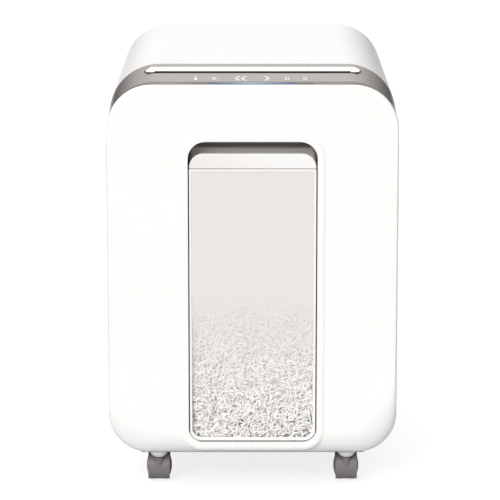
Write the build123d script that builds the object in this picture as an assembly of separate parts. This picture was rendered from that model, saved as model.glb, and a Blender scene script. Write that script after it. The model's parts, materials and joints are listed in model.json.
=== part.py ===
from build123d import *
import math
import os

# Upright office paper shredder on four castors, with a pull-out bin behind a windowed front panel.
# Millimetres. +X right, +Y to the rear, +Z up. The floor is Z = 0.

# Body tube: a rounded outline that runs from front to back and narrows a little
BODY_HALF_WIDTH = 178.3
BODY_TAPER = 12.0 / 269.0
BODY_LOW_Z = 44.5
BODY_LOW_R = 50.0
WALL = 2.5
TUBE_FRONT_Y = -131.5
TUBE_FRONT_TOP_Z = 516.0
TUBE_FRONT_TOP_R = 60.0
RIM_Y = -90.0
RIM_TOP_Z = 531.6
RIM_TOP_R = 62.0
TUBE_REAR_Y = 127.0
TUBE_REAR_TOP_Z = 550.1
TUBE_REAR_TOP_R = 59.0
REAR_Y = 137.5
REAR_EDGE_R = 8.0
REAR_CAP_WALL = 3.0
SEAM = 0.5

# Silver strip: upright rear edge over the top, then a sweep forward that tapers down each side
STRIP_SWEEP_TOP_Z = 492.0
STRIP_SWEEP_LOW_Z = 385.0
STRIP_FRONT_LIP = 4.5
STRIP_FRONT_LIP_DEPTH = 2.0

# Bottom chassis
CHASSIS_HALF_WIDTH = 139.5
CHASSIS_LOW_Z = 42.5
CHASSIS_TOP_Z = 47.5
CHASSIS_FLANGE_IN_X = 131.0
CHASSIS_FLANGE_TOP_Z = 60.0

# Front panel
PANEL_HALF_WIDTH = 180.0
PANEL_LOW_Z = 43.5
PANEL_TOP_Z = 513.0
PANEL_TOP_R = 56.0
PANEL_LOW_R = 50.0
PANEL_FLAT_LOW_R = 80.0
PANEL_FACE_Y = -136.5
PANEL_BACK_Y = -132.3
PANEL_DEEP_Y = -118.5
PANEL_ROLL_LOW = 30.0
PANEL_ROLL_SIDE = 3.0
PANEL_ROLL_TOP = 2.0
PANEL_ROLL_STEPS = 10
PANEL_ROLL_WALL = 3.2
PANEL_RIM = 10.0
PANEL_POCKET_Y = -124.0
BORDER_FACE_Y = -137.5
BORDER_WIDTH = 10.0
PANEL_GAP = 0.8
SEAM_LOW_Z = 400.0
SEAM_TOP_Z = 455.0
SPIGOT_INSET = 7.5
SPIGOT_WALL = 2.0
SPIGOT_END_Y = -122.0
SPIGOT_DEEP_END_Y = -114.6

# Window opening and what fills it
OPEN_HALF_WIDTH = 79.7
OPEN_LOW_Z = 61.3
OPEN_TOP_Z = 442.3
OPEN_TOP_R = 21.6
OPEN_LOW_R = 17.3
FRAME_HALF_WIDTH = 78.0
FRAME_LOW_Z = 63.0
FRAME_TOP_Z = 408.0
FRAME_FACE_Y = -136.0
FRAME_BACK_Y = -130.4
FLANGE_Y = -132.2
FLANGE_HALF_WIDTH = 90.0
FLANGE_LOW_Z = 57.0
FRAME_BORDER = 2.3
PANE_LEDGE = 0.8
PANE_FACE_Y = -135.4
PANE_BACK_Y = -132.9
PANE_GAP = 0.1
LIP_LOW_Z = 408.5
LIP_TOP_Z = 427.2
LIP_TOP_R = 17.2
LIP_BACK_Y = -132.4
CUP_BACK_Y = -108.0
CUP_HALF_WIDTH = 85.0
CUP_LOW_Z = 410.0
CUP_FRONT_TOP_Z = 446.0
CUP_BACK_TOP_Z = 430.0
CUP_WALL = 2.0

# Bin tub
TUB_WALL = 2.2
TUB_FRONT_Y = -128.0
TUB_BACK_Y = 112.0
TUB_HALF_WIDTH = 152.0
TUB_FOOT_HALF_WIDTH = 129.0
TUB_LOW_Z = 57.0
TUB_STEP_Z = 78.0
TUB_TOP_Z = 405.0
TUB_CORNER_R = 14.0
TUB_WINDOW_HALF_WIDTH = 76.5
TUB_WINDOW_LOW_Z = 63.0
TUB_WINDOW_TOP_Z = 402.0
RAIL_TOP_Z = 75.0
RUNNER_LOW_Z = 75.3

# Paper slot, cut straight down and then sloping back to the cutters
SLOT_FRONT_Y = -109.5
SLOT_REAR_Y = -103.5
SLOT_HALF_LENGTH = 121.0
MOUTH_FRONT_Y = -112.5
MOUTH_REAR_Y = -97.0
MOUTH_HALF_LENGTH = 131.5

# Cutting head: two shafts side by side, square to the sloping paper path
NIP_Y = -72.0
NIP_Z = 470.0
PATH_LEAN = math.radians(34.4)
SHAFT_SPACING = 29.0
DISC_R = 16.0
DISC_THICKNESS = 2.6
DISC_PITCH = 6.0
DISC_COUNT = 39
HEX_FLATS = 18.0
HEX_HALF_LENGTH = 121.5
JOURNAL_R = 5.0
RUNNING_GAP = 0.05
PLATE_IN_X = 122.0
PLATE_OUT_X = 126.0
TRAY_LOW_Z = 438.0
TRAY_TOP_Z = 441.0
TRAY_HALF_WIDTH = 161.5
TRAY_FRONT_Y = -104.5
TRAY_REAR_Y = 124.0
TRAY_RIB = 3.0

# Gears: tooth counts, modules and layers along X
SYNC_TEETH = 20
SYNC_MODULE = SHAFT_SPACING / SYNC_TEETH
SYNC_X = (128.0, 138.0)
DRIVE_TEETH = 48
DRIVE_MODULE = 1.4
DRIVE_X = (141.0, 149.0)
LARGE_TEETH = 48
LARGE_MODULE = 1.1
LARGE_X = (150.5, 156.5)
SMALL_TEETH = 60
SMALL_MODULE = 0.8
SMALL_X = (158.0, 163.0)
PINION_TEETH = 12
DRIVE_TO_LARGE_DEG = -10.0
LARGE_TO_SMALL_DEG = 5.0
SMALL_TO_MOTOR_DEG = 0.0
PIN_R = 3.0
COVER_X = (164.2, 166.0)

# Motor
MOTOR_R = 30.0
MOTOR_X = (32.0, 121.8)
MOTOR_SHAFT_R = 2.5

# Castors
CASTER_X = 118.3
CASTER_FRONT_Y = -106.0
CASTER_REAR_Y = 98.0
CASTER_TRAIL = 16.0
WHEEL_R = 18.0
HOOD_IN_R = 19.0
HOOD_OUT_R = 20.6
HOOD_HALF_WIDTH = 13.5
STEM_R = 4.0
STEM_TOP_Z = 53.0
SOCKET_LOW_Z = 33.8
SOCKET_TOP_R = 12.2
SOCKET_LOW_R = 5.6
SOCKET_TOP_Z = 55.0
BOWL_GAP = 0.8

# Rear fittings
INLET_X = -110.0
ROCKER_X = -60.0
REAR_FIT_Z = 470.0
ROCKER_Y = 126.0
ROCKER_R = 10.5
ROCKER_TILT = 8.0

across = (math.cos(PATH_LEAN), math.sin(PATH_LEAN))
FRONT_SHAFT = (NIP_Y - across[0] * SHAFT_SPACING / 2, NIP_Z - across[1] * SHAFT_SPACING / 2)
REAR_SHAFT = (NIP_Y + across[0] * SHAFT_SPACING / 2, NIP_Z + across[1] * SHAFT_SPACING / 2)

# The castor sockets are bowls cut from a sphere through their top and bottom rims
bowl_drop = CHASSIS_LOW_Z - SOCKET_LOW_Z
bowl_rise = (SOCKET_TOP_R**2 - SOCKET_LOW_R**2 - bowl_drop**2) / (2 * bowl_drop)
BOWL_CENTRE_Z = CHASSIS_LOW_Z + bowl_rise
BOWL_R = math.hypot(SOCKET_TOP_R, bowl_rise)


def save(name, *shapes):
    shape = shapes[0] if len(shapes) == 1 else Compound(children=list(shapes))
    shape.label = name
    export_step(shape, f"parts/{name}.step")


def facing_front(y):
    return Plane(origin=(0, y, 0), x_dir=(1, 0, 0), z_dir=(0, -1, 0))


def outline(half_width, low_z, top_z, top_r, low_r):
    face = Rectangle(2 * half_width, top_z - low_z)
    face = fillet(face.vertices().group_by(Axis.Y)[-1], top_r)
    face = fillet(face.vertices().group_by(Axis.Y)[0], low_r)
    return Pos(0, (low_z + top_z) / 2) * face


def slab(sketch, y_front, y_back):
    return extrude(facing_front(y_back) * sketch, y_back - y_front)


def box(x0, x1, y0, y1, z0, z1):
    return Pos((x0 + x1) / 2, (y0 + y1) / 2, (z0 + z1) / 2) * Box(x1 - x0, y1 - y0, z1 - z0)


def rod(radius, x0, x1, centre):
    return Pos((x0 + x1) / 2, centre[0], centre[1]) * Rot(0, 90, 0) * Cylinder(radius, x1 - x0)


def post(radius, x, y, z0, z1):
    return Pos(x, y, (z0 + z1) / 2) * Cylinder(radius, z1 - z0)


def side_profile(points, x0, x1):
    # A closed outline in Y and Z, extruded along X
    face = make_face(Polyline(*[(x0, y, z) for y, z in points], close=True))
    return extrude(face, x1 - x0, dir=(1, 0, 0))


def half_width_at(y):
    return BODY_HALF_WIDTH - BODY_TAPER * (y - TUBE_FRONT_Y)


def tube_stage(y0, top0, r0, y1, top1, r1, inset):
    faces = []
    for y, top, r in ((y0, top0, r0), (y1, top1, r1)):
        half = half_width_at(y) - inset
        flat = outline(half, BODY_LOW_Z + inset, top - inset, r - inset, BODY_LOW_R - inset)
        faces.append(facing_front(y) * flat)
    return loft(faces, ruled=True)


def tube_shell():
    front = (TUBE_FRONT_Y, TUBE_FRONT_TOP_Z, TUBE_FRONT_TOP_R, RIM_Y, RIM_TOP_Z, RIM_TOP_R)
    rear = (RIM_Y, RIM_TOP_Z, RIM_TOP_R, TUBE_REAR_Y, TUBE_REAR_TOP_Z, TUBE_REAR_TOP_R)
    front_shell = tube_stage(*front, 0) - tube_stage(*front, WALL)
    rear_shell = tube_stage(*rear, 0) - tube_stage(*rear, WALL)
    return front_shell, rear_shell


def region_ahead(sweep_points, low_z, high_z):
    # Everything ahead of a line seen from the side: a sweep, then straight up to the top
    y_low, y_high = sweep_points[0][0], sweep_points[-1][0]
    ahead = TUBE_FRONT_Y - 15
    rest = [(y_high, high_z), (ahead, high_z), (ahead, low_z), (y_low, low_z)]
    line = [sweep_points[-1]] + rest
    if sweep_points[0][1] > low_z:
        line.append(sweep_points[0])
    sweep = Bezier(*[(0, y, z) for y, z in sweep_points])
    outer = Polyline(*[(0, y, z) for y, z in line])
    face = make_face(sweep.edges() + outer.edges())
    return extrude(face, BODY_HALF_WIDTH + 10, dir=(1, 0, 0), both=True)


def strip_region(shift):
    sweep = [(-125, STRIP_SWEEP_LOW_Z), (-112, 425), (RIM_Y, 455), (RIM_Y, STRIP_SWEEP_TOP_Z)]
    return region_ahead([(y - shift, z) for y, z in sweep], STRIP_SWEEP_LOW_Z, TUBE_REAR_TOP_Z)


def panel_region(shift):
    middle = (SEAM_LOW_Z + SEAM_TOP_Z) / 2
    sweep = [
        (PANEL_DEEP_Y, SEAM_LOW_Z),
        (PANEL_DEEP_Y, middle),
        (PANEL_BACK_Y, middle),
        (PANEL_BACK_Y, SEAM_TOP_Z),
    ]
    return region_ahead([(y + shift, z) for y, z in sweep], 30, 600)


def stadium(x_half, y0, y1, z0, z1):
    radius = (y1 - y0) / 2 - 0.01
    face = Pos(0, (y0 + y1) / 2) * RectangleRounded(2 * x_half, y1 - y0, radius)
    return extrude(Pos(0, 0, z0) * face, z1 - z0)


def strip_surface_z(y):
    slope = (RIM_TOP_Z - TUBE_FRONT_TOP_Z) / (RIM_Y - TUBE_FRONT_Y)
    return TUBE_FRONT_TOP_Z + slope * (y - TUBE_FRONT_Y)


LIGHT_Z = (513.3, 514.6)
LIGHT_BAR = (-73.6, 73.6, TUBE_FRONT_Y, TUBE_FRONT_Y + 3.0, *LIGHT_Z)
LIGHT_GROOVE = (-88.0, 88.0, TUBE_FRONT_Y - 1.0, TUBE_FRONT_Y + 0.6, *LIGHT_Z)


def make_body():
    front_shell, rear_shell = tube_shell()
    region = strip_region(0)
    ahead = panel_region(PANEL_GAP)
    casing = (front_shell - region - ahead) + rear_shell
    reach = CHASSIS_HALF_WIDTH + 0.2
    casing -= box(-reach, reach, -140, 140, 40, CHASSIS_FLANGE_TOP_Z + 1)
    save("casing_shell", casing)

    front_args = (TUBE_FRONT_Y, TUBE_FRONT_TOP_Z, TUBE_FRONT_TOP_R, RIM_Y, RIM_TOP_Z, RIM_TOP_R)
    lip = tube_stage(*front_args, WALL) - tube_stage(*front_args, STRIP_FRONT_LIP)
    lip &= box(-200, 200, TUBE_FRONT_Y, TUBE_FRONT_Y + STRIP_FRONT_LIP_DEPTH, 400, 560)
    strip = ((front_shell + lip) & strip_region(SEAM)) - ahead
    strip -= stadium(MOUTH_HALF_LENGTH, MOUTH_FRONT_Y, MOUTH_REAR_Y, 500, 545)
    strip -= box(*LIGHT_BAR)
    strip -= box(*LIGHT_GROOVE)
    save("control_strip", strip)
    save("light_bar", box(*LIGHT_BAR))


def make_throat():
    gap = 0.4
    block = stadium(MOUTH_HALF_LENGTH - gap, MOUTH_FRONT_Y + gap, MOUTH_REAR_Y - gap, 511, 545)
    top = [(-120, strip_surface_z(-120)), (-90, strip_surface_z(-90)), (-90, 560), (-120, 560)]
    block -= side_profile(top, -140, 140)
    bend_front = (-86.2, 484.5)
    bend_rear = (-80.4, 488.5)
    front_guide = [(SLOT_FRONT_Y, 516), (SLOT_FRONT_Y, 510), bend_front]
    front_guide += [(-87.5, 483.2), (-111.3, 509.3), (-111.3, 516)]
    rear_guide = [(SLOT_REAR_Y, 516), (SLOT_REAR_Y, 512), bend_rear]
    rear_guide += [(-79.1, 489.8), (-101.7, 512.8), (-101.7, 516)]
    for guide in (front_guide, rear_guide):
        block += side_profile(guide, -SLOT_HALF_LENGTH, SLOT_HALF_LENGTH)
    mouth = [
        (SLOT_FRONT_Y, 505),
        (SLOT_REAR_Y, 505),
        (SLOT_REAR_Y, 524.7),
        (-97.9, 528.3),
        (-97.9, 545),
        (-111.7, 545),
        (-111.7, 522.6),
        (SLOT_FRONT_Y, 520.8),
    ]
    block -= side_profile(mouth, -SLOT_HALF_LENGTH + 1, SLOT_HALF_LENGTH - 1)
    for side in (-1, 1):
        block -= Pos(side * 125, -104.6, 530.9) * Sphere(7.5)
    save("paper_throat", block)


def chevron(x, size, points_right):
    tip = x + (size / 2 if points_right else -size / 2)
    tail = 2 * x - tip
    arm = 1.9
    upper = [(tail, size), (tail + arm, size), (tip + arm, 0)]
    lower = [(tail + arm, -size), (tail, -size), (tip, 0)]
    return make_face(Polyline(*upper, *lower, close=True))


def make_icons():
    y = -124.5
    angle = math.atan2(RIM_TOP_Z - TUBE_FRONT_TOP_Z, RIM_Y - TUBE_FRONT_Y)
    plane = Plane(
        origin=(0, y, strip_surface_z(y)), x_dir=(1, 0, 0), z_dir=(0, -math.sin(angle), math.cos(angle))
    )
    faces = [
        chevron(-19.5, 4.9, False),
        chevron(-12.0, 4.9, False),
        chevron(16.5, 4.9, True),
        Pos(-69.5, -1.6) * Circle(1.8),
        Pos(-69.5, 2.4) * Rectangle(1.4, 4.6),
        Pos(-47.0, 0) * (Circle(2.8) - Circle(1.9)),
        Pos(42.0, 0) * (Rectangle(5.0, 5.6) - Rectangle(3.4, 4.0)),
        Pos(64.0, 0) * (Rectangle(4.0, 6.0) - Rectangle(2.6, 4.6)),
    ]
    save("touch_icons", *[extrude(plane * face, 0.2) for face in faces])


def make_chassis():
    w = CHASSIS_HALF_WIDTH
    base = box(-w, w, PANEL_DEEP_Y + PANEL_GAP, TUBE_REAR_Y, CHASSIS_LOW_Z, CHASSIS_TOP_Z)
    for side in (-1, 1):
        x0, x1 = sorted((side * CHASSIS_FLANGE_IN_X, side * w))
        base += box(x0, x1, -108, 125, CHASSIS_TOP_Z, CHASSIS_FLANGE_TOP_Z)
    for x in (-CASTER_X, CASTER_X):
        for y in (CASTER_FRONT_Y, CASTER_REAR_Y):
            base -= post(8, x, y, CHASSIS_LOW_Z - 1, CHASSIS_TOP_Z + 1)
    save("base_chassis", base)

    sockets = []
    for x in (-CASTER_X, CASTER_X):
        for y in (CASTER_FRONT_Y, CASTER_REAR_Y):
            bowl = Pos(x, y, BOWL_CENTRE_Z) * Sphere(BOWL_R)
            bowl &= box(x - 20, x + 20, y - 20, y + 20, SOCKET_LOW_Z, CHASSIS_LOW_Z)
            socket = bowl + post(8, x, y, CHASSIS_LOW_Z, SOCKET_TOP_Z)
            sockets.append(socket - post(STEM_R + RUNNING_GAP, x, y, SOCKET_LOW_Z - 1, SOCKET_TOP_Z - 1.5))
    save("caster_sockets", *sockets)

    rails = []
    for side in (-1, 1):
        x0, x1 = sorted((side * CHASSIS_FLANGE_IN_X, side * 143))
        rails.append(box(x0, x1, -108, 124, CHASSIS_FLANGE_TOP_Z, RAIL_TOP_Z))
    save("drawer_rails", *rails)


def make_rear():
    half = half_width_at(TUBE_REAR_Y)
    flat = outline(half, BODY_LOW_Z, TUBE_REAR_TOP_Z, TUBE_REAR_TOP_R, BODY_LOW_R)
    cap = slab(flat, TUBE_REAR_Y + SEAM, REAR_Y)
    cap = fillet(cap.faces().sort_by(Axis.Y)[-1].edges(), REAR_EDGE_R)
    wall = REAR_CAP_WALL
    inner = outline(
        half - wall, BODY_LOW_Z + wall, TUBE_REAR_TOP_Z - wall, TUBE_REAR_TOP_R - wall, BODY_LOW_R - wall
    )
    cap -= slab(inner, TUBE_REAR_Y, REAR_Y - wall)
    face_y = REAR_Y - wall
    for column_x in (55.0, 110.0):
        for row in range(9):
            z = 440 + 8 * row
            cap -= box(column_x - 21, column_x + 21, face_y - 1, REAR_Y + 1, z, z + 3.2)
    cap -= box(INLET_X - 16, INLET_X + 16, face_y - 1, REAR_Y + 1, REAR_FIT_Z - 12, REAR_FIT_Z + 12)
    cap -= box(ROCKER_X - 6.4, ROCKER_X + 6.4, face_y - 1, REAR_Y + 1, REAR_FIT_Z - 8.0, REAR_FIT_Z + 8.0)
    screws = []
    for x in (-150, 150):
        for z in (90, 290, 490):
            spot = Pos(x, REAR_Y, z) * Rot(90, 0, 0)
            cap -= spot * Cylinder(4.6, 3.2)
            cap -= spot * Cylinder(1.75, 12)
            head = Pos(x, REAR_Y - 1.1, z) * Rot(90, 0, 0) * Cylinder(4.2, 1.0)
            head -= box(x - 3, x + 3, REAR_Y - 0.9, REAR_Y, z - 0.5, z + 0.5)
            head -= box(x - 0.5, x + 0.5, REAR_Y - 0.9, REAR_Y, z - 3, z + 3)
            screws.append(head + Pos(x, REAR_Y - 6.0, z) * Rot(90, 0, 0) * Cylinder(1.7, 9.0))
    save("rear_panel", cap)
    save("rear_panel_screws", *screws)

    depth_y = 116.0
    inlet = box(INLET_X - 15.8, INLET_X + 15.8, depth_y, REAR_Y - 0.3, REAR_FIT_Z - 11.8, REAR_FIT_Z + 11.8)
    inlet -= box(INLET_X - 12.4, INLET_X + 12.4, depth_y + 3, REAR_Y, REAR_FIT_Z - 8.4, REAR_FIT_Z + 8.4)
    save("mains_inlet", inlet)
    pins = []
    for x, z in ((-7.0, -2.0), (0.0, 2.0), (7.0, -2.0)):
        px = INLET_X + x
        pz = REAR_FIT_Z + z
        pins.append(box(px - 1, px + 1, depth_y + 3, depth_y + 17, pz - 2, pz + 2))
    save("inlet_pins", *pins)

    rocker = rod(ROCKER_R, ROCKER_X - 6, ROCKER_X + 6, (ROCKER_Y, REAR_FIT_Z))
    rocker -= box(ROCKER_X - 7, ROCKER_X + 7, 100, 122, 450, 490)
    for side in (-1, 1):
        tilt = Pos(ROCKER_X, ROCKER_Y + 9.2, REAR_FIT_Z) * Rot(side * ROCKER_TILT, 0, 0)
        rocker -= tilt * Pos(0, 4, side * 8.5) * Box(14, 8, 23)
    centre = Pos(0, ROCKER_Y, REAR_FIT_Z)
    save("power_rocker", centre * Rot(-ROCKER_TILT, 0, 0) * Pos(0, -ROCKER_Y, -REAR_FIT_Z) * rocker)


def make_head_tray():
    w = TRAY_HALF_WIDTH
    tray = box(-w, w, TRAY_FRONT_Y, TRAY_REAR_Y, TRAY_LOW_Z, TRAY_TOP_Z)
    tray += box(-127.5, 127.5, -103.5, -40.5, 412, TRAY_LOW_Z)
    tray -= box(-126, 126, -102, -42, 411, 437)
    tray -= box(-124, 124, -100.5, -44, 436, 442)
    for side in (-1, 1):
        x0, x1 = sorted((side * (w - TRAY_RIB), side * w))
        tray += box(x0, x1, TRAY_FRONT_Y, TRAY_REAR_Y, 425, TRAY_LOW_Z)
    screws = []
    for x in (-154, 154):
        for y in (-90, 112):
            screws.append(post(4.0, x, y, TRAY_TOP_Z, TRAY_TOP_Z + 2.0))
    save("head_tray", tray)
    save("head_tray_screws", *screws)


TIE_RODS = ((-42.0, 450.0), (-100.0, 480.0), (-50.0, 508.0))


def offset_point(start, distance, degrees):
    return (
        start[0] + distance * math.cos(math.radians(degrees)),
        start[1] + distance * math.sin(math.radians(degrees)),
    )


def centre_distance(teeth_a, teeth_b, module):
    return module * (teeth_a + teeth_b) / 2


LARGE_CENTRE = offset_point(
    REAR_SHAFT, centre_distance(DRIVE_TEETH, PINION_TEETH, DRIVE_MODULE), DRIVE_TO_LARGE_DEG
)
SMALL_CENTRE = offset_point(
    LARGE_CENTRE, centre_distance(LARGE_TEETH, PINION_TEETH, LARGE_MODULE), LARGE_TO_SMALL_DEG
)
MOTOR_CENTRE = offset_point(
    SMALL_CENTRE, centre_distance(SMALL_TEETH, PINION_TEETH, SMALL_MODULE), SMALL_TO_MOTOR_DEG
)


def make_plates():
    left = [(-106, 441.2), (-36, 441.2), (-36, 512), (-60, 515), (-106, 498)]
    right = [(-106, 441.2), (78, 441.2), (78, 512), (-36, 520), (-60, 515), (-106, 498)]
    for name, points, x0 in (
        ("cutter_plate_left", left, -PLATE_OUT_X),
        ("cutter_plate_right", right, PLATE_IN_X),
    ):
        plate = side_profile(points, x0, x0 + PLATE_OUT_X - PLATE_IN_X)
        for shaft in (FRONT_SHAFT, REAR_SHAFT):
            plate -= rod(8, x0 - 1, x0 + 6, shaft)
        if x0 > 0:
            plate -= rod(8, x0 - 1, x0 + 6, MOTOR_CENTRE)
            for pin in (LARGE_CENTRE, SMALL_CENTRE):
                plate -= rod(PIN_R, x0 - 1, x0 + 6, pin)
        save(name, plate)
    save("cutter_tie_rods", *[rod(3, -PLATE_IN_X, PLATE_IN_X, spot) for spot in TIE_RODS])
    bushes = []
    for shaft in (FRONT_SHAFT, REAR_SHAFT):
        for x0, x1 in ((-PLATE_OUT_X, -PLATE_IN_X), (PLATE_IN_X, PLATE_OUT_X)):
            bushes.append(rod(8, x0, x1, shaft) - rod(JOURNAL_R + RUNNING_GAP, x0 - 1, x1 + 1, shaft))
    save("shaft_bushes", *bushes)


def hex_bar(x0, x1, centre, growth=0.0):
    face = RegularPolygon(HEX_FLATS / 2 + growth, 6, major_radius=False)
    return Pos(x0, *centre) * Rot(0, 90, 0) * extrude(face, x1 - x0)


def make_disc(x, centre):
    tooth_count = 12
    points = []
    for i in range(tooth_count):
        start = 2 * math.pi * i / tooth_count
        for share, radius in ((0.0, DISC_R), (0.7, DISC_R - 0.2), (0.8, DISC_R - 2.2)):
            angle = start + share * 2 * math.pi / tooth_count
            points.append((radius * math.cos(angle), radius * math.sin(angle)))
    face = make_face(Polyline(*points, close=True)) - RegularPolygon(HEX_FLATS / 2, 6, major_radius=False)
    return Pos(x - DISC_THICKNESS / 2, *centre) * Rot(0, 90, 0) * extrude(face, DISC_THICKNESS)


def make_cutters():
    first = -DISC_PITCH * (DISC_COUNT - 1) / 2
    ends = {"front": 139.5, "rear": 149.5}
    for name, centre, count, shift in (
        ("front", FRONT_SHAFT, DISC_COUNT, 0.0),
        ("rear", REAR_SHAFT, DISC_COUNT - 1, DISC_PITCH / 2),
    ):
        shaft = hex_bar(-HEX_HALF_LENGTH, HEX_HALF_LENGTH, centre)
        shaft += rod(JOURNAL_R, -129.5, -HEX_HALF_LENGTH, centre)
        shaft += rod(JOURNAL_R, HEX_HALF_LENGTH, ends[name], centre)
        save(f"cutter_shaft_{name}", shaft)
        places = [first + shift + DISC_PITCH * i for i in range(count)]
        save(f"cutter_discs_{name}", *[make_disc(x, centre) for x in places])
        make_comb(name, centre, places)


def make_comb(name, centre, places):
    side = -1 if name == "front" else 1
    tilt = math.degrees(PATH_LEAN)
    bar_at = 19.0
    bar_y = centre[0] + side * across[0] * bar_at
    bar_z = centre[1] + side * across[1] * bar_at
    comb = Pos(0, bar_y, bar_z) * Rot(tilt, 0, 0) * Box(2 * PLATE_IN_X - 0.4, 4, 9)
    finger_at = 15.0
    fingers = []
    for x in places[:-1]:
        y = centre[0] + side * across[0] * finger_at
        z = centre[1] + side * across[1] * finger_at
        fingers.append(Pos(x + DISC_PITCH / 2, y, z) * Rot(tilt, 0, 0) * Box(DISC_THICKNESS, 7, 8))
    save(f"stripper_comb_{name}", comb + fingers)


def make_gear(teeth, module, layer, centre, phase_deg, bore):
    # Straight-sided teeth, slimmed so that the pair runs with backlash. One tooth is centred on phase_deg.
    pitch_r = teeth * module / 2
    root_r = pitch_r - 1.25 * module
    tip_r = pitch_r + 0.9 * module
    step = 2 * math.pi / teeth
    points = []
    for i in range(teeth):
        middle = math.radians(phase_deg) + i * step
        for share, radius in ((-0.33, root_r), (-0.12, tip_r), (0.12, tip_r), (0.33, root_r)):
            angle = middle + share * step
            points.append((centre[0] + radius * math.cos(angle), centre[1] + radius * math.sin(angle)))
    return side_profile(points, *layer) - rod(bore, layer[0] - 1, layer[1] + 1, centre)


def gap_phase(direction_deg, teeth):
    # Puts the middle of a tooth gap on the given direction
    return direction_deg + 180.0 / teeth


def make_gears():
    lean = math.degrees(PATH_LEAN)
    front = make_gear(SYNC_TEETH, SYNC_MODULE, SYNC_X, FRONT_SHAFT, lean, JOURNAL_R)
    phase = gap_phase(lean + 180, SYNC_TEETH)
    rear = make_gear(SYNC_TEETH, SYNC_MODULE, SYNC_X, REAR_SHAFT, phase, JOURNAL_R)
    save("sync_gear_front", front)
    save("sync_gear_rear", rear)

    drive = make_gear(DRIVE_TEETH, DRIVE_MODULE, DRIVE_X, REAR_SHAFT, DRIVE_TO_LARGE_DEG, JOURNAL_R)
    save("drive_gear", drive)

    bore = PIN_R + RUNNING_GAP
    phase = gap_phase(DRIVE_TO_LARGE_DEG + 180, PINION_TEETH)
    large = make_gear(PINION_TEETH, DRIVE_MODULE, DRIVE_X, LARGE_CENTRE, phase, bore)
    large += make_gear(LARGE_TEETH, LARGE_MODULE, LARGE_X, LARGE_CENTRE, LARGE_TO_SMALL_DEG, bore)
    large += rod(5.5, DRIVE_X[1], LARGE_X[0], LARGE_CENTRE) - rod(bore, DRIVE_X[0], LARGE_X[1], LARGE_CENTRE)
    save("idler_gear_large", large)

    phase = gap_phase(LARGE_TO_SMALL_DEG + 180, PINION_TEETH)
    small = make_gear(PINION_TEETH, LARGE_MODULE, LARGE_X, SMALL_CENTRE, phase, bore)
    small += make_gear(SMALL_TEETH, SMALL_MODULE, SMALL_X, SMALL_CENTRE, SMALL_TO_MOTOR_DEG, bore)
    small += rod(4.8, LARGE_X[1], SMALL_X[0], SMALL_CENTRE) - rod(bore, LARGE_X[0], SMALL_X[1], SMALL_CENTRE)
    save("idler_gear_small", small)

    phase = gap_phase(SMALL_TO_MOTOR_DEG + 180, PINION_TEETH)
    save("motor_pinion", make_gear(PINION_TEETH, SMALL_MODULE, SMALL_X, MOTOR_CENTRE, phase, MOTOR_SHAFT_R))
    pins = [rod(PIN_R, PLATE_IN_X, COVER_X[1], spot) for spot in (LARGE_CENTRE, SMALL_CENTRE)]
    save("idler_pins", *pins)


def make_gearbox_cover():
    cover = side_profile([(-106, 443.5), (62, 443.5), (62, 490), (-106, 490)], *COVER_X)
    for spot in ((-101.0, 448.0), (33.0, 448.0), (58.0, 449.0), (58.0, 485.0)):
        cover += rod(4, PLATE_OUT_X, COVER_X[0], spot)
    for spot in (LARGE_CENTRE, SMALL_CENTRE):
        cover -= rod(PIN_R, COVER_X[0] - 1, COVER_X[1] + 1, spot)
    save("gearbox_cover", cover)


def make_motor():
    case = rod(MOTOR_R, *MOTOR_X, MOTOR_CENTRE)
    case += rod(24, MOTOR_X[0] - 8, MOTOR_X[0], MOTOR_CENTRE)
    case -= rod(MOTOR_SHAFT_R + RUNNING_GAP, 0, 130, MOTOR_CENTRE)
    save("motor_case", case)
    save("motor_shaft", rod(MOTOR_SHAFT_R, 18, SMALL_X[1], MOTOR_CENTRE))


def make_electronics():
    angle = math.degrees(math.atan2(RIM_TOP_Z - TUBE_FRONT_TOP_Z, RIM_Y - TUBE_FRONT_Y))
    save("control_board", Pos(0, -122.5, 514.0) * Rot(angle, 0, 0) * Box(150, 13, 1.6))

    board = box(-152, -44, 20, 98, 449, 450.6)
    for x in (-146, -50):
        for y in (26, 92):
            board += post(3, x, y, TRAY_TOP_Z, 449)
    board += box(-140, -108, 34, 62, 450.6, 476)
    board += box(-98, -78, 34, 50, 450.6, 468)
    for x in (-96, -76, -58):
        board += post(6, x, 78, 450.6, 474)
    save("power_board", board)

    save("drawer_sensor", box(140, 152, -112, -104, 425, 437.8))


def panel_outline(roll, inset):
    # roll is 1 at the flat face and 0 at full size
    side = PANEL_ROLL_SIDE * roll + inset
    low = PANEL_ROLL_LOW * roll + inset
    top = PANEL_ROLL_TOP * roll + inset
    low_r = PANEL_LOW_R + (PANEL_FLAT_LOW_R - PANEL_LOW_R) * roll - inset
    return outline(PANEL_HALF_WIDTH - side, PANEL_LOW_Z + low, PANEL_TOP_Z - top, PANEL_TOP_R - top, low_r)


def inset_panel(inset):
    return panel_outline(0, inset)


def rolled_body(shift, inset):
    # The face rolls back over a quarter ellipse, most at the bottom edge
    depth = PANEL_DEEP_Y - PANEL_FACE_Y
    sections = []
    for i in range(PANEL_ROLL_STEPS + 1):
        angle = math.pi / 2 * i / PANEL_ROLL_STEPS
        y = PANEL_FACE_Y + shift + depth * (1 - math.cos(angle))
        sections.append(facing_front(y) * panel_outline(1 - math.sin(angle), inset))
    return loft(sections, ruled=True)


def window_opening(grow):
    return outline(
        OPEN_HALF_WIDTH + grow, OPEN_LOW_Z - grow, OPEN_TOP_Z + grow, OPEN_TOP_R + grow, OPEN_LOW_R + grow
    )


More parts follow.
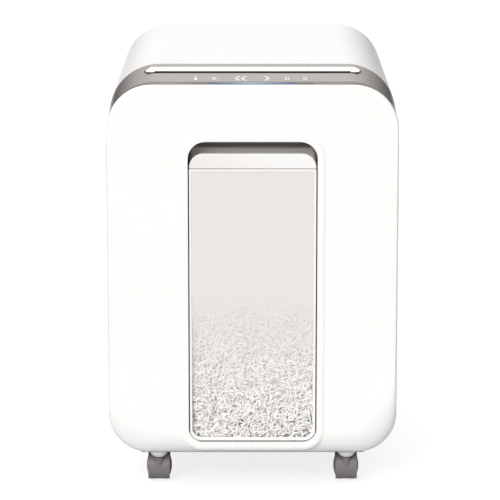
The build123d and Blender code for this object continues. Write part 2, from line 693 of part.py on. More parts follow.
def make_front_panel():
    panel = rolled_body(0, 0)
    panel += slab(window_opening(BORDER_WIDTH), PANEL_FACE_Y, PANEL_POCKET_Y)
    panel += loft(
        [
            facing_front(PANEL_FACE_Y) * window_opening(BORDER_WIDTH),
            facing_front(BORDER_FACE_Y) * window_opening(BORDER_WIDTH - 3),
        ],
        ruled=True,
    )
    panel &= panel_region(0)
    hollow = rolled_body(PANEL_ROLL_WALL, PANEL_ROLL_WALL - 0.7)
    panel -= hollow & slab(inset_panel(PANEL_RIM), PANEL_BACK_Y, PANEL_DEEP_Y + 1)
    behind_window = outline(FLANGE_HALF_WIDTH + 0.2, FLANGE_LOW_Z - 0.2, OPEN_TOP_Z, 10, 10)
    panel -= slab(behind_window, PANEL_BACK_Y, PANEL_DEEP_Y + 1)
    ring_inset = SPIGOT_INSET + SPIGOT_WALL
    panel -= slab(inset_panel(ring_inset), PANEL_POCKET_Y, PANEL_DEEP_Y + 1)
    ring = inset_panel(SPIGOT_INSET) - inset_panel(ring_inset)
    panel += slab(ring, PANEL_BACK_Y, SPIGOT_END_Y) & box(-200, 200, -140, -100, 380, 560)
    panel += slab(ring, PANEL_POCKET_Y, SPIGOT_DEEP_END_Y) & box(-200, 200, -140, -100, 40, 430)
    panel -= slab(window_opening(0), BORDER_FACE_Y - 1, PANEL_BACK_Y + 1)
    save("front_panel", panel)


def make_window():
    frame = slab(outline(FRAME_HALF_WIDTH, FRAME_LOW_Z, FRAME_TOP_Z, 2, 14.5), FRAME_FACE_Y, FRAME_BACK_Y)
    frame += slab(outline(FLANGE_HALF_WIDTH, FLANGE_LOW_Z, FRAME_TOP_Z, 2, 12), FLANGE_Y, FRAME_BACK_Y)

    def aperture(inset):
        return outline(
            FRAME_HALF_WIDTH - inset, FRAME_LOW_Z + inset, FRAME_TOP_Z - inset - 0.3, 1.5, 14.5 - inset
        )

    frame -= slab(aperture(FRAME_BORDER), FRAME_FACE_Y - 1, PANE_BACK_Y + PANE_GAP)
    frame -= slab(aperture(FRAME_BORDER + PANE_LEDGE), FRAME_FACE_Y - 1, FRAME_BACK_Y + 1)
    save("window_frame", frame)
    save("window_pane", slab(aperture(FRAME_BORDER + PANE_GAP), PANE_FACE_Y, PANE_BACK_Y))

    lip = slab(outline(FRAME_HALF_WIDTH, LIP_LOW_Z, LIP_TOP_Z, LIP_TOP_R, 1), FRAME_FACE_Y, LIP_BACK_Y)
    save("grip_lip", fillet(lip.faces().sort_by(Axis.Y)[0].edges().group_by(Axis.Z)[-1], 1.4))

    cup = slab(outline(FLANGE_HALF_WIDTH, LIP_LOW_Z, 456, 10, 2), FLANGE_Y, FRAME_BACK_Y)
    cup += slab(outline(CUP_HALF_WIDTH, CUP_LOW_Z, CUP_FRONT_TOP_Z, 16, 6), FRAME_BACK_Y, CUP_BACK_Y)
    low = CUP_LOW_Z + CUP_WALL
    mouth = outline(CUP_HALF_WIDTH - CUP_WALL, low, CUP_FRONT_TOP_Z - CUP_WALL, 14, 4)
    floor = outline(CUP_HALF_WIDTH - CUP_WALL - 1, low, CUP_BACK_TOP_Z, 11, 4)
    cup -= loft([facing_front(FLANGE_Y - 1) * mouth, facing_front(CUP_BACK_Y - CUP_WALL) * floor])
    save("grip_cup", cup)


def make_tub():
    def block(half_width, inset, z0, z1):
        length = TUB_BACK_Y - TUB_FRONT_Y - 2 * inset
        face = RectangleRounded(2 * (half_width - inset), length, TUB_CORNER_R - inset)
        return extrude(Pos(0, (TUB_FRONT_Y + TUB_BACK_Y) / 2, z0) * face, z1 - z0)

    tub = block(TUB_HALF_WIDTH, 0, TUB_STEP_Z, TUB_TOP_Z)
    tub += block(TUB_HALF_WIDTH + 3, -1.5, TUB_TOP_Z - 3, TUB_TOP_Z)
    tub += block(TUB_FOOT_HALF_WIDTH, 0, TUB_LOW_Z, TUB_STEP_Z)
    tub -= block(TUB_HALF_WIDTH, TUB_WALL, TUB_STEP_Z + TUB_WALL, TUB_TOP_Z + 1)
    tub -= block(TUB_FOOT_HALF_WIDTH, TUB_WALL, TUB_LOW_Z + TUB_WALL, TUB_STEP_Z + TUB_WALL)
    window = outline(TUB_WINDOW_HALF_WIDTH, TUB_WINDOW_LOW_Z, TUB_WINDOW_TOP_Z, 6, 12)
    tub -= slab(window, TUB_FRONT_Y - 5, TUB_FRONT_Y + 5)
    save("bin_tub", tub)

    runners = []
    for side in (-1, 1):
        x0, x1 = sorted((side * 132, side * 142))
        runners.append(box(x0, x1, -108, 106, RUNNER_LOW_Z, TUB_STEP_Z))
    save("bin_runners", *runners)
    save("sensor_magnet", box(141, 151, -112, -105, TUB_TOP_Z, TUB_TOP_Z + 4))

    gap = 0.4
    low = block(TUB_FOOT_HALF_WIDTH, TUB_WALL + gap, TUB_LOW_Z + TUB_WALL + 0.1, TUB_STEP_Z + TUB_WALL + 2)
    heap = block(TUB_HALF_WIDTH, TUB_WALL + gap, TUB_STEP_Z + TUB_WALL + 0.1, 200)
    crown = Pos(0, -8, 200) * loft([Rectangle(290, 226), Pos(0, 0, 48) * Rectangle(200, 150)], ruled=True)
    save("paper_shreds", low + heap + crown)


def make_wheel():
    tread = rod(WHEEL_R, 2.8, 12.4, (0, 0))
    tread = chamfer(tread.edges().filter_by(GeomType.CIRCLE), 1.2)
    dome = (Pos(-18, 0, 0) * Sphere(33.9)) & rod(14.6, 11, 17, (0, 0))
    return tread + dome - rod(PIN_R + RUNNING_GAP, 2, 14.2, (0, 0))


def make_fork():
    # Built round the axle at the origin, with the stem ahead of it
    hood = rod(HOOD_OUT_R, -HOOD_HALF_WIDTH, HOOD_HALF_WIDTH, (0, 0))
    fork = hood - rod(HOOD_IN_R, -HOOD_HALF_WIDTH - 1, HOOD_HALF_WIDTH + 1, (0, 0))
    fork += Pos(0, -CASTER_TRAIL, 5) * Cone(4.0, 6.2, 20)
    for x0, x1 in ((-20, -2.3), (2.3, 20)):
        fork -= rod(HOOD_IN_R - 0.3, x0, x1, (0, 0))
    fork += rod(HOOD_IN_R + 0.5, -2.0, 2.0, (0, 0))
    fork -= Pos(0, -CASTER_TRAIL, BOWL_CENTRE_Z - WHEEL_R) * Sphere(BOWL_R + BOWL_GAP)
    fork -= box(-20, 20, -30, 30, -30, 4 - WHEEL_R)
    fork -= box(-20, 20, 6, 30, -30, 5)
    fork += rod(PIN_R, -14, 14, (0, 0))
    fork += post(STEM_R, 0, -CASTER_TRAIL, 10, STEM_TOP_Z - WHEEL_R)
    for x0, x1 in ((-20, -2.3), (2.3, 20)):
        fork -= rod(HOOD_IN_R - 0.3, x0, x1, (0, 0)) - rod(PIN_R, -30, 30, (0, 0))
    return fork


def make_casters():
    fork = make_fork()
    wheel_right = make_wheel()
    wheel_left = mirror(wheel_right, Plane.YZ)
    for side, x in (("left", -CASTER_X), ("right", CASTER_X)):
        for end, y in (("front", CASTER_FRONT_Y), ("rear", CASTER_REAR_Y)):
            place = Pos(x, y + CASTER_TRAIL, WHEEL_R)
            save(f"caster_{end}_{side}_fork", place * fork)
            save(f"caster_{end}_{side}_wheel_left", place * wheel_left)
            save(f"caster_{end}_{side}_wheel_right", place * wheel_right)


os.makedirs("parts", exist_ok=True)
make_body()
make_throat()
make_icons()
make_chassis()
make_rear()
make_head_tray()
make_plates()
make_cutters()
make_gears()
make_gearbox_cover()
make_motor()
make_electronics()
make_front_panel()
make_window()
make_tub()
make_casters()
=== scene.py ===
import json
import math

import bmesh
import bpy
import numpy as np
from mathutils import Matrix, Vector


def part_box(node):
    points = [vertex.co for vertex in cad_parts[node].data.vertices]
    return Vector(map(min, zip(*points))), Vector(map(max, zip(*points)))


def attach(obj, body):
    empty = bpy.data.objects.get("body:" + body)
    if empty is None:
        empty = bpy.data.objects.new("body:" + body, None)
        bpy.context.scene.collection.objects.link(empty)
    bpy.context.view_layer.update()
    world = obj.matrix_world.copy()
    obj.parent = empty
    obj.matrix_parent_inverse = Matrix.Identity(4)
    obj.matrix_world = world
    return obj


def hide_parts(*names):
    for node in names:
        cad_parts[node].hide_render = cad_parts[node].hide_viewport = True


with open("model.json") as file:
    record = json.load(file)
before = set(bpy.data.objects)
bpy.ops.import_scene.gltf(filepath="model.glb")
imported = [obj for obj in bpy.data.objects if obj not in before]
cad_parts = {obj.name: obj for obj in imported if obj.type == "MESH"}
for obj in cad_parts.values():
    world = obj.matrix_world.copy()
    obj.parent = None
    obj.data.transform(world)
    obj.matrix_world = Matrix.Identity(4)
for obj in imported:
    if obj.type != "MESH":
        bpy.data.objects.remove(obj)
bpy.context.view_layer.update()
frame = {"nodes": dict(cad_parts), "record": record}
NODES = frame["nodes"]

# Boxes of the nodes that the materials and the shreds take their places from, in metres.
PANE_LOW, PANE_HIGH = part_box("window_pane")
BAR_LOW, BAR_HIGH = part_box("light_bar")
LIP_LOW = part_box("grip_lip")[0]
CUP_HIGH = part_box("grip_cup")[1]
SHREDS_LOW, SHREDS_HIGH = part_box("paper_shreds")

# Just behind the front face of the pane. The frame's face is ahead of this and its flange is behind.
FACE_DEPTH_Y = PANE_LOW.y + 0.0009
# How far the white of the frame reaches past the pane.
FRAME_BORDER = 0.0022


# ---------------------------------------------------------------- material helpers


class Shader:
    """A material with one Principled surface, and short calls for adding nodes to it."""

    def __init__(self, name, **sockets):
        self.mat = bpy.data.materials.new(name)
        self.mat.use_nodes = True
        self.tree = self.mat.node_tree
        self.bsdf = self.tree.nodes["Principled BSDF"]
        for key, value in sockets.items():
            self.set(key, value)
        self.coords = self.tree.nodes.new("ShaderNodeTexCoord").outputs["Object"]

    def node(self, kind, settings=None, **inputs):
        made = self.tree.nodes.new(kind)
        for key, value in (settings or {}).items():
            setattr(made, key, value)
        for key, value in inputs.items():
            self.feed(made.inputs[key.replace("_", " ")], value)
        return made

    def feed(self, socket, value):
        if isinstance(value, bpy.types.NodeSocket):
            self.tree.links.new(value, socket)
        else:
            socket.default_value = value

    def set(self, key, value):
        self.feed(self.bsdf.inputs[key.replace("_", " ")], value)

    def math(self, operation, *values):
        made = self.node("ShaderNodeMath", {"operation": operation})
        for socket, value in zip(made.inputs, values):
            self.feed(socket, value)
        return made.outputs[0]

    def vector_math(self, operation, a, b):
        made = self.node("ShaderNodeVectorMath", {"operation": operation})
        self.feed(made.inputs[0], a)
        self.feed(made.inputs[1], b)
        return made.outputs

    def axis(self, index):
        return self.node("ShaderNodeSeparateXYZ", Vector=self.coords).outputs[index]

    def half_width(self):
        """The distance from the plane that the object is symmetrical about."""
        return self.math("ABSOLUTE", self.axis(0))

    def noise(self, scale, detail=3.0, vector=None):
        made = self.node("ShaderNodeTexNoise", Scale=scale, Detail=detail, Vector=vector or self.coords)
        return made.outputs["Fac"]

    def spread(self, value, low, high):
        """Takes 0 to 1 to low to high."""
        made = self.node("ShaderNodeMapRange", Value=value, To_Min=low, To_Max=high)
        return made.outputs["Result"]

    def rise(self, value, start, end, floor=0.0):
        """The floor up to start, 1 past end, and a straight ramp between them."""
        made = self.node("ShaderNodeMapRange", Value=value, From_Min=start, From_Max=end, To_Min=floor)
        return made.outputs["Result"]

    def ramp(self, value, stops):
        made = self.node("ShaderNodeValToRGB", Fac=value)
        elements = made.color_ramp.elements
        while len(elements) < len(stops):
            elements.new(0.5)
        for element, (place, colour) in zip(elements, stops):
            element.position = place
            element.color = (*colour, 1.0)
        return made.outputs["Color"]

    def mix(self, factor, a, b):
        made = self.node("ShaderNodeMix", {"data_type": "RGBA"})
        self.feed(made.inputs[0], factor)
        for socket, value in ((made.inputs[6], a), (made.inputs[7], b)):
            self.feed(socket, value if isinstance(value, bpy.types.NodeSocket) else (*value, 1.0))
        return made.outputs[2]

    def bump(self, height, strength, distance):
        made = self.node("ShaderNodeBump", Height=height, Strength=strength, Distance=distance)
        return made.outputs["Normal"]


# ---------------------------------------------------------------- materials


def moulded(name, colour, rough, relief=0.10, coat=0.0, tone=0.025):
    """Injection-moulded plastic: a fine grain, broad flow marks in the gloss and a faint drift of tone."""
    s = Shader(name, IOR=1.46, Coat_Weight=coat, Coat_Roughness=0.06)
    dark = tuple(c * (1.0 - tone) for c in colour)
    s.set("Base_Color", s.mix(s.noise(9.0, 2.0), dark, colour))
    s.set("Roughness", s.spread(s.noise(35.0, 4.0), rough - 0.04, rough + 0.04))
    s.set("Normal", s.bump(s.noise(1400.0), relief, 0.00012))
    return s.mat


def metal(name, colour, rough):
    """Metal brushed along X."""
    s = Shader(name, Metallic=1.0)
    along = s.node("ShaderNodeMapping", Vector=s.coords, Scale=(4.0, 900.0, 900.0)).outputs["Vector"]
    brushed = s.noise(1.0, 4.0, along)
    s.set("Base_Color", s.mix(brushed, tuple(c * 0.86 for c in colour), colour))
    s.set("Roughness", s.spread(brushed, rough - 0.08, rough + 0.08))
    s.set("Normal", s.bump(brushed, 0.06, 0.0001))
    return s.mat


def gloss_panel():
    s = Shader("panel_gloss_white", IOR=1.5, Coat_Weight=0.6, Coat_Roughness=0.03)
    s.set("Base_Color", s.mix(s.noise(5.0, 2.0), (0.915, 0.905, 0.895), (0.94, 0.93, 0.92)))
    s.set("Roughness", s.spread(s.noise(22.0), 0.16, 0.22))
    s.set("Normal", s.bump(s.noise(120.0, 1.0), 0.02, 0.0002))
    return s.mat


def silver_paint():
    """Silver paint with painted shade: deeper in tone round the corners and a dark ring round each end of the
    mouth.
    """
    s = Shader("strip_silver_paint", Metallic=0.92, Coat_Weight=0.35, Coat_Roughness=0.12)
    flakes = s.noise(5200.0, 2.0)
    bright = s.mix(flakes, (0.41, 0.384, 0.364), (0.555, 0.524, 0.503))
    # deep: the silver in painted shade, which darkens the strip towards its corners.
    deep = s.mix(flakes, (0.215, 0.195, 0.181), (0.29, 0.265, 0.248))
    corner_start, corner_end = 0.115, 0.168
    wide = s.half_width()
    tone = s.mix(s.rise(wide, corner_start, corner_end), bright, deep)

    mouth_half_length, mouth_front_y, mouth_rear_y = 0.1315, -0.1125, -0.097
    end_radius = (mouth_rear_y - mouth_front_y) / 2
    end_centre = (mouth_half_length - end_radius, (mouth_front_y + mouth_rear_y) / 2, 0.0)
    # A thin ring of painted shade round each end of the mouth, where a groove would be shaded; nothing is
    # cut.
    ring_shade_radius, ring_shade_half_width, ring_shade_start = end_radius + 0.00105, 0.0006, 0.1262
    plan = s.node("ShaderNodeCombineXYZ", X=wide, Y=s.axis(1)).outputs["Vector"]
    reach = s.vector_math("DISTANCE", plan, end_centre)["Value"]
    ring = s.math("COMPARE", reach, ring_shade_radius, ring_shade_half_width)
    ring_shade = s.math("MULTIPLY", ring, s.math("GREATER_THAN", wide, ring_shade_start))
    # The near-black colour is the painted shade of that ring.
    s.set("Base_Color", s.mix(ring_shade, tone, (0.06, 0.054, 0.05)))
    s.set("Roughness", s.spread(s.noise(60.0), 0.30, 0.40))
    s.set("Normal", s.bump(flakes, 0.08, 0.00008))
    return s.mat


def light_bar_glow():
    """Blue light, palest at the middle of the bar and unlit at its two ends."""
    s = Shader("light_bar_glow", Roughness=0.25, IOR=1.49, Emission_Strength=0.16)
    unlit = (0.16, 0.155, 0.15)
    edge = (0.03, 0.09, 0.30)
    blue = (0.13, 0.25, 0.46)
    pale = (0.34, 0.50, 0.66)
    stops = [(0.12, unlit), (0.17, edge), (0.32, blue), (0.50, pale)]
    stops += [(0.68, blue), (0.83, edge), (0.88, unlit)]
    colour = s.ramp(s.rise(s.axis(0), BAR_LOW.x, BAR_HIGH.x), stops)
    s.set("Base_Color", colour)
    s.set("Emission_Color", colour)
    return s.mat


def window_pane():
    """A light grey panel whose printed dots thin out towards the bottom, so the shreds show through there."""
    s = Shader("pane_frosted_fade", IOR=1.49, Coat_Weight=0.2, Coat_Roughness=0.05)
    s.set("Base_Color", s.mix(s.noise(6.0, 2.0), (0.748, 0.717, 0.703), (0.776, 0.745, 0.731)))
    s.set("Roughness", s.spread(s.noise(30.0), 0.28, 0.36))
    clear_z, solid_z, dot_size = 0.092, 0.252, 0.0004
    share = s.rise(s.axis(2), clear_z, solid_z, floor=0.02)
    cell = s.vector_math("SNAP", s.coords, (dot_size, 1.0, dot_size))["Vector"]
    pick = s.node("ShaderNodeTexWhiteNoise", {"noise_dimensions": "3D"}, Vector=cell).outputs["Value"]
    front_face = s.math("LESS_THAN", s.axis(1), FACE_DEPTH_Y)
    s.set("Alpha", s.math("MULTIPLY", s.math("LESS_THAN", pick, share), front_face))
    return s.mat


def throat():
    """White funnel, with painted shade making it dark inside the slot itself."""
    s = Shader("throat_white", IOR=1.46, Coat_Weight=0.2, Coat_Roughness=0.08)
    slot_top_z, slot_rear_y = 0.5246, -0.1033
    # Painted shade: below the top of the slot and ahead of its rear wall, the funnel is coloured near black.
    inside = s.rise(s.axis(2), slot_top_z, slot_top_z - 0.0006)
    slot = s.math("MULTIPLY", inside, s.math("LESS_THAN", s.axis(1), slot_rear_y))
    white = s.mix(s.noise(12.0, 2.0), (0.90, 0.895, 0.885), (0.92, 0.915, 0.91))
    s.set("Base_Color", s.mix(slot, white, (0.03, 0.028, 0.027)))
    s.set("Roughness", s.spread(s.noise(40.0), 0.28, 0.36))
    s.set("Normal", s.bump(s.noise(1500.0, 2.0), 0.06, 0.0001))
    return s.mat


def paper_bits():
    """Office paper, with painted shade making it a little greyer at the bottom of the bin."""
    s = Shader("paper_bits", Roughness=0.75)
    # low: the paper in painted shade, used at the bottom of the bin and fading out by 0.16 m.
    low = s.mix(s.noise(260.0), (0.84, 0.823, 0.807), (0.95, 0.937, 0.925))
    s.set("Base_Color", s.mix(s.rise(s.axis(2), 0.07, 0.16), low, (0.99, 0.985, 0.98)))
    s.set("Normal", s.bump(s.noise(3000.0, 2.0), 0.12, 0.00008))
    return s.mat


def shred_heap():
    """What shows between the slips: paper in shade, deepest at the bottom of the bin."""
    s = Shader("shred_heap", Roughness=0.9)
    cells = s.node("ShaderNodeTexVoronoi", Vector=s.coords, Scale=420.0).outputs["Distance"]
    low = s.mix(cells, (0.78, 0.76, 0.745), (0.42, 0.40, 0.385))
    high = s.mix(cells, (0.985, 0.975, 0.965), (0.90, 0.88, 0.865))
    s.set("Base_Color", s.mix(s.rise(s.axis(2), 0.085, 0.17), low, high))
    s.set("Normal", s.bump(cells, 0.8, 0.002))
    return s.mat


def frame_trim():
    """White moulding, with painted shade making it dark in the narrow space that runs round the outside of
    the frame.
    """
    s = Shader("frame_white", IOR=1.5, Coat_Weight=0.3, Coat_Roughness=0.05)
    # Painted shade: the flange beside and under the frame, behind the pane's face, is coloured near black.
    beside = s.math("GREATER_THAN", s.half_width(), PANE_HIGH.x + FRAME_BORDER)
    under = s.math("LESS_THAN", s.axis(2), PANE_LOW.z - FRAME_BORDER)
    deep = s.math("GREATER_THAN", s.axis(1), FACE_DEPTH_Y)
    gap_shade = s.math("MULTIPLY", s.math("MAXIMUM", beside, under), deep)
    white = s.mix(s.noise(10.0, 2.0), (0.90, 0.895, 0.885), (0.925, 0.92, 0.915))
    s.set("Base_Color", s.mix(gap_shade, white, (0.075, 0.062, 0.056)))
    s.set("Roughness", s.spread(s.noise(30.0), 0.2, 0.28))
    s.set("Normal", s.bump(s.noise(1300.0, 2.0), 0.05, 0.0001))
    return s.mat


def lip_trim():
    """White moulding, with painted shade making it greyer towards its left end."""
    s = Shader("lip_white", IOR=1.5, Coat_Weight=0.3, Coat_Roughness=0.08)
    # Painted shade: grey at the lip's left end, fading to white by full_white_x.
    full_white_x = 0.03
    across = s.rise(s.axis(0), LIP_LOW.x, full_white_x)
    white = s.mix(across, (0.72, 0.705, 0.695), (0.90, 0.895, 0.885))
    s.set("Base_Color", s.mix(s.noise(14.0, 2.0), white, (0.86, 0.85, 0.84)))
    s.set("Roughness", s.spread(s.noise(30.0), 0.22, 0.3))
    s.set("Normal", s.bump(s.noise(1300.0, 2.0), 0.06, 0.0001))
    return s.mat


def recess_trim():
    """Grip recess in grey-white plastic, with painted shade making it dark inside towards its sloping ceiling
    and its two ends.
    """
    s = Shader("recess_white", IOR=1.46)
    wide = s.half_width()
    ceiling = s.rise(s.axis(2), 0.4288, 0.4338)
    ends = s.rise(wide, 0.0735, 0.0785)
    inner_y = CUP_HIGH.y - 0.0018
    outer_half_width, outer_top_z = 0.084, 0.445
    ahead = s.math("LESS_THAN", s.axis(1), inner_y)
    between = s.math("LESS_THAN", wide, outer_half_width)
    beneath = s.math("LESS_THAN", s.axis(2), outer_top_z)
    inside = s.math("MULTIPLY", s.math("MULTIPLY", ahead, between), beneath)
    # Painted shade: near black inside the recess at its ceiling and its two ends.
    shade = s.math("MULTIPLY", s.math("MAXIMUM", ceiling, ends), inside)
    white = s.mix(s.noise(14.0, 2.0), (0.80, 0.765, 0.745), (0.84, 0.805, 0.785))
    s.set("Base_Color", s.mix(shade, white, (0.10, 0.085, 0.078)))
    s.set("Roughness", s.spread(s.noise(30.0), 0.4, 0.5))
    s.set("Normal", s.bump(s.noise(1300.0, 2.0), 0.08, 0.0001))
    return s.mat


def board():
    """Green laminate with copper-toned pads."""
    s = Shader("circuit_board_green", IOR=1.5, Coat_Weight=0.4, Coat_Roughness=0.1)
    cells = s.node("ShaderNodeTexVoronoi", Vector=s.coords, Scale=160.0)
    pads = s.rise(cells.outputs["Distance"], 0.16, 0.12)
    green = s.mix(s.noise(80.0), (0.012, 0.09, 0.035), (0.02, 0.16, 0.06))
    s.set("Base_Color", s.mix(pads, green, (0.75, 0.6, 0.32)))
    s.set("Roughness", s.spread(s.noise(90.0, 2.0), 0.3, 0.45))
    s.set("Normal", s.bump(pads, 0.4, 0.0003))
    return s.mat


# One material for each material slot of the record, and a few for single nodes.
MATERIALS = {
    "white_shell": moulded("shell_white", (0.91, 0.905, 0.90), 0.34, coat=0.15),
    "white_panel": gloss_panel(),
    "white_trim": moulded("trim_white", (0.92, 0.915, 0.91), 0.22, coat=0.3),
    "silver_strip": silver_paint(),
    "blue_light": light_bar_glow(),
    "icon_white": moulded("icon_white", (0.95, 0.95, 0.95), 0.4),
    "black_plastic": moulded("plastic_black", (0.022, 0.022, 0.024), 0.45, relief=0.2, tone=0.2),
    "window_plastic": window_pane(),
    "shreds": shred_heap(),
    "steel": metal("steel", (0.62, 0.62, 0.63), 0.32),
    "brass": metal("brass", (0.78, 0.6, 0.3), 0.3),
    "gear_nylon": moulded("gear_nylon", (0.78, 0.76, 0.68), 0.4),
    "motor_metal": metal("motor_metal", (0.3, 0.3, 0.31), 0.4),
    "circuit_board": board(),
    "caster_grey": moulded("caster_grey", (0.200, 0.184, 0.189), 0.42, relief=0.14, tone=0.08),
}
NODE_MATERIALS = {
    "paper_throat": throat(),
    "window_frame": frame_trim(),
    "grip_lip": lip_trim(),
    "grip_cup": recess_trim(),
    # The chassis is dark grey as painted shade: it gives the shaded line seen under the front panel.
    "base_chassis": moulded("chassis_grey_painted_shade", (0.26, 0.245, 0.235), 0.5, relief=0.15, tone=0.08),
}


def paint(obj, mat):
    obj.data.materials.clear()
    obj.data.materials.append(mat)


for part in frame["record"]["subparts"]:
    node = part["node"]
    paint(NODES[node], NODE_MATERIALS.get(node) or MATERIALS[part["material_slot"]])


# ---------------------------------------------------------------- shredded paper in the bin

SLIP_LENGTH = (0.0060, 0.0105)
SLIP_WIDTH = (0.0015, 0.0023)
SLIP_THICKNESS = 0.00016
SLIP_CURL, SLIP_SWEEP, SLIP_TWIST = 0.22, 0.12, 0.9

HEAP_TOP_Z = 0.262
HEAP_X = (SHREDS_LOW.x + 0.001, SHREDS_HIGH.x - 0.001)
HEAP_Y = (SHREDS_LOW.y + 0.0008, SHREDS_HIGH.y - 0.001)
HEAP_STEPS_X, HEAP_STEPS_Y = 60, 48
# The tub stands on a narrow foot and steps out to its full width above the runners.
FOOT_HALF_WIDTH = 0.12
FOOT_FLOOR_Z, STEP_FLOOR_Z = 0.060, 0.0815

WINDOW_SLIPS, TOP_SLIPS = 7000, 5600


def add_object(name, mesh, mat):
    obj = bpy.data.objects.new(name, mesh)
    bpy.context.collection.objects.link(obj)
    paint(obj, mat)
    return obj


def add_bmesh(name, bm, mat):
    mesh = bpy.data.meshes.new(name)
    bm.to_mesh(mesh)
    bm.free()
    return add_object(name, mesh, mat)


def unit(rows):
    return rows / np.linalg.norm(rows, axis=1, keepdims=True)


def paper_slips(name, places, facing, tilt, rng, mat):
    """Closed, curled slips of paper at places, lying roughly square to facing.

    Each slip is three rings of four corners, closed at both ends.
    """
    count = len(places)
    length = rng.uniform(*SLIP_LENGTH, count)
    width = rng.uniform(*SLIP_WIDTH, count)
    w = unit(np.array([facing] * count) + rng.normal(0, tilt, (count, 3)))
    u = unit(np.cross(w, rng.normal(0, 1, (count, 3))))
    v = np.cross(w, u)
    curl = rng.uniform(-SLIP_CURL, SLIP_CURL, count)
    sweep = rng.uniform(-SLIP_SWEEP, SLIP_SWEEP, count)
    twist = rng.uniform(-SLIP_TWIST, SLIP_TWIST, count)
    verts = np.zeros((count, 3, 4, 3))
    for ring, s in enumerate((-1.0, 0.0, 1.0)):
        bow = (s * s - 0.5) * length
        mid = places + (s * length / 2)[:, None] * u
        mid += (bow * curl)[:, None] * w + (bow * sweep)[:, None] * v
        turn = twist * s
        side = v * np.cos(turn)[:, None] + w * np.sin(turn)[:, None]
        up = w * np.cos(turn)[:, None] - v * np.sin(turn)[:, None]
        for corner, (across, over) in enumerate(((-1, -1), (1, -1), (1, 1), (-1, 1))):
            offset = side * (across * width / 2)[:, None] + up * (over * SLIP_THICKNESS / 2)
            verts[:, ring, corner] = mid + offset
    faces = [(0, 3, 2, 1), (8, 9, 10, 11)]
    for first in (0, 4):
        for k in range(4):
            following = first + (k + 1) % 4
            faces.append((first + k, following, following + 4, first + k + 4))
    all_faces = (np.arange(count)[:, None, None] * 12 + np.array(faces)[None]).reshape(-1, 4)
    mesh = bpy.data.meshes.new(name)
    mesh.from_pydata(verts.reshape(-1, 3).tolist(), [], all_faces.tolist())
    mesh.validate()
    mesh.update()
    return add_object(name, mesh, mat)


def heap_height(x, y):
    """The top of the shreds: a low mound with hollows in it."""
    mound = HEAP_TOP_Z - 1.1 * (x * x) - 0.5 * (y + 0.01) ** 2
    return mound + 0.004 * math.sin(61 * x + 2) * math.cos(53 * y) + 0.0025 * math.sin(140 * x - 90 * y)


def solid_heap(rng):
    """A closed block of shreds: an uneven top, walls down to the tub floor, and a bottom."""
    bm = bmesh.new()
    nx, ny = HEAP_STEPS_X, HEAP_STEPS_Y
    top = []
    for j in range(ny + 1):
        row = []
        for i in range(nx + 1):
            x = HEAP_X[0] + (HEAP_X[1] - HEAP_X[0]) * i / nx
            y = HEAP_Y[0] + (HEAP_Y[1] - HEAP_Y[0]) * j / ny
            row.append(bm.verts.new((x, y, heap_height(x, y) + rng.uniform(-0.002, 0.002))))
        top.append(row)
    base = []
    for row in top:
        lows = [FOOT_FLOOR_Z if abs(v.co.x) < FOOT_HALF_WIDTH else STEP_FLOOR_Z for v in row]
        base.append([bm.verts.new((v.co.x, v.co.y, low)) for v, low in zip(row, lows)])
    for j in range(ny):
        for i in range(nx):
            bm.faces.new((top[j][i], top[j][i + 1], top[j + 1][i + 1], top[j + 1][i]))
            bm.faces.new((base[j][i], base[j + 1][i], base[j + 1][i + 1], base[j][i + 1]))
    rim = [(j, 0) for j in range(ny, 0, -1)] + [(0, i) for i in range(nx)]
    rim += [(j, nx) for j in range(ny)] + [(ny, i) for i in range(nx, 0, -1)]
    for (ja, ia), (jb, ib) in zip(rim, rim[1:] + rim[:1]):
        bm.faces.new((top[ja][ia], base[ja][ia], base[jb][ib], top[jb][ib]))
    bmesh.ops.recalc_face_normals(bm, faces=bm.faces)
    return add_bmesh("shred_heap", bm, MATERIALS["shreds"])


def shreds_at_window(rng, mat):
    """Slips lying flat against the clear part of the window, most of them close to it."""
    half_width, low_z = 0.0755, 0.0655
    layer = 0.0045
    places = np.zeros((WINDOW_SLIPS, 3))
    places[:, 0] = rng.uniform(-half_width, half_width, WINDOW_SLIPS)
    places[:, 1] = SHREDS_LOW.y - 0.0002 - rng.uniform(0, 1, WINDOW_SLIPS) ** 1.5 * layer
    places[:, 2] = rng.uniform(low_z, HEAP_TOP_Z, WINDOW_SLIPS)
    return paper_slips("shreds_at_window", places, (0.0, -1.0, 0.0), 0.42, rng, mat)


def shreds_on_top(rng, mat):
    """Slips scattered over the mound."""
    margin = 0.005
    places = np.zeros((TOP_SLIPS, 3))
    places[:, 0] = rng.uniform(HEAP_X[0] + margin, HEAP_X[1] - margin, TOP_SLIPS)
    places[:, 1] = rng.uniform(HEAP_Y[0] + margin, HEAP_Y[1] - margin, TOP_SLIPS)
    places[:, 2] = [heap_height(x, y) for x, y in places[:, :2]]
    places[:, 2] += rng.uniform(-0.001, 0.003, TOP_SLIPS)
    return paper_slips("shreds_on_top", places, (0.0, 0.0, 1.0), 0.35, rng, mat)


def fill_bin():
    rng = np.random.default_rng(7)
    heap = solid_heap(rng)
    paper = paper_bits()
    face = shreds_at_window(rng, paper)
    crown = shreds_on_top(rng, paper)
    for obj in (heap, face, crown):
        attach(obj, "drawer")
    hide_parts("paper_shreds")


# ---------------------------------------------------------------- stage

BACKDROP_COLOUR = (1.0, 1.0, 1.0, 1.0)
LIGHT_COLOUR = (1.0, 0.982, 0.967, 1.0)
FLOOR_HALF_SIZE = 14.0
KEY_DIRECTION = Vector((0.33, 0.75, -0.58))
KEY_IRRADIANCE = 0.625

CAMERA_ELEVATION = math.radians(12.5)
CAMERA_DISTANCE = 3.5
CAMERA_TARGET = Vector((-0.0033, -0.137, 0.3071))
VIEW_WIDTH = 0.615764
SENSOR_WIDTH = 36.0


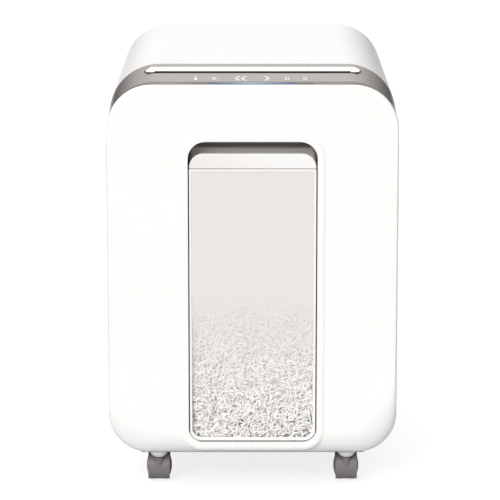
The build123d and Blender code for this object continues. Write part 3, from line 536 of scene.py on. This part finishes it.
def map_range(tree, value, start, end, low, high, interpolation="LINEAR"):
    made = tree.nodes.new("ShaderNodeMapRange")
    made.interpolation_type = interpolation
    for key, number in (("From Min", start), ("From Max", end), ("To Min", low), ("To Max", high)):
        made.inputs[key].default_value = number
    tree.links.new(value, made.inputs["Value"])
    return made.outputs["Result"]


def studio_light():
    """Soft light from all round, strongest overhead and weaker from the right, and a white backdrop."""
    world = bpy.data.worlds.new("studio")
    bpy.context.scene.world = world
    world.use_nodes = True
    tree = world.node_tree
    place = tree.nodes.new("ShaderNodeTexCoord")
    split = tree.nodes.new("ShaderNodeSeparateXYZ")
    tree.links.new(place.outputs["Generated"], split.inputs[0])
    overhead = map_range(tree, split.outputs[2], 0.0, 0.75, 0.20, 1.07, "SMOOTHSTEP")
    sideways = map_range(tree, split.outputs[0], 0.2, 0.9, 1.0, 0.45)
    strength = tree.nodes.new("ShaderNodeMath")
    strength.operation = "MULTIPLY"
    tree.links.new(overhead, strength.inputs[0])
    tree.links.new(sideways, strength.inputs[1])
    light = tree.nodes["Background"]
    light.inputs["Color"].default_value = LIGHT_COLOUR
    tree.links.new(strength.outputs[0], light.inputs["Strength"])

    backdrop = tree.nodes.new("ShaderNodeBackground")
    backdrop.inputs["Color"].default_value = BACKDROP_COLOUR
    path = tree.nodes.new("ShaderNodeLightPath")
    either = tree.nodes.new("ShaderNodeMixShader")
    tree.links.new(path.outputs["Is Camera Ray"], either.inputs[0])
    tree.links.new(light.outputs[0], either.inputs[1])
    tree.links.new(backdrop.outputs[0], either.inputs[2])
    tree.links.new(either.outputs[0], tree.nodes["World Output"].inputs["Surface"])


def pale_floor():
    """A white floor with only a faint shadow on it, which throws a middling light back up at the object."""
    s = Shader("floor_white", Roughness=0.8, Emission_Strength=0.82)
    seen = s.node("ShaderNodeLightPath").outputs["Is Camera Ray"]
    pale = s.mix(s.noise(0.7), (0.19, 0.19, 0.19), (0.21, 0.21, 0.21))
    s.set("Base_Color", s.mix(seen, (0.55, 0.55, 0.55), pale))
    s.set("Emission_Color", s.mix(seen, (0.0, 0.0, 0.0), (1.0, 1.0, 1.0)))
    bm = bmesh.new()
    bmesh.ops.create_grid(bm, x_segments=8, y_segments=8, size=FLOOR_HALF_SIZE)
    add_bmesh("floor", bm, s.mat)


def key_light():
    data = bpy.data.lights.new("key", "SUN")
    data.angle = math.radians(35)
    data.energy = KEY_IRRADIANCE * math.pi
    key = bpy.data.objects.new("key", data)
    bpy.context.collection.objects.link(key)
    key.rotation_mode = "QUATERNION"
    key.rotation_quaternion = KEY_DIRECTION.to_track_quat("-Z", "Y")


def camera():
    """Straight ahead, a little above level, with a lens that takes in VIEW_WIDTH at the target."""
    data = bpy.data.cameras.new("camera")
    data.sensor_width = SENSOR_WIDTH
    data.lens = SENSOR_WIDTH * CAMERA_DISTANCE / VIEW_WIDTH
    data.clip_end = 60.0
    obj = bpy.data.objects.new("camera", data)
    bpy.context.collection.objects.link(obj)
    back = Vector((0, -math.cos(CAMERA_ELEVATION), math.sin(CAMERA_ELEVATION)))
    obj.location = CAMERA_TARGET + back * CAMERA_DISTANCE
    obj.rotation_mode = "QUATERNION"
    obj.rotation_quaternion = (-back).to_track_quat("-Z", "Y")
    bpy.context.scene.camera = obj
    bpy.context.scene.view_settings.view_transform = "Standard"
    bpy.context.scene.view_settings.exposure = 0.0


fill_bin()
# The pane's dots would throw a speckled shadow on the shreds.
NODES["window_pane"].visible_shadow = False
studio_light()
pale_floor()
key_light()
camera()
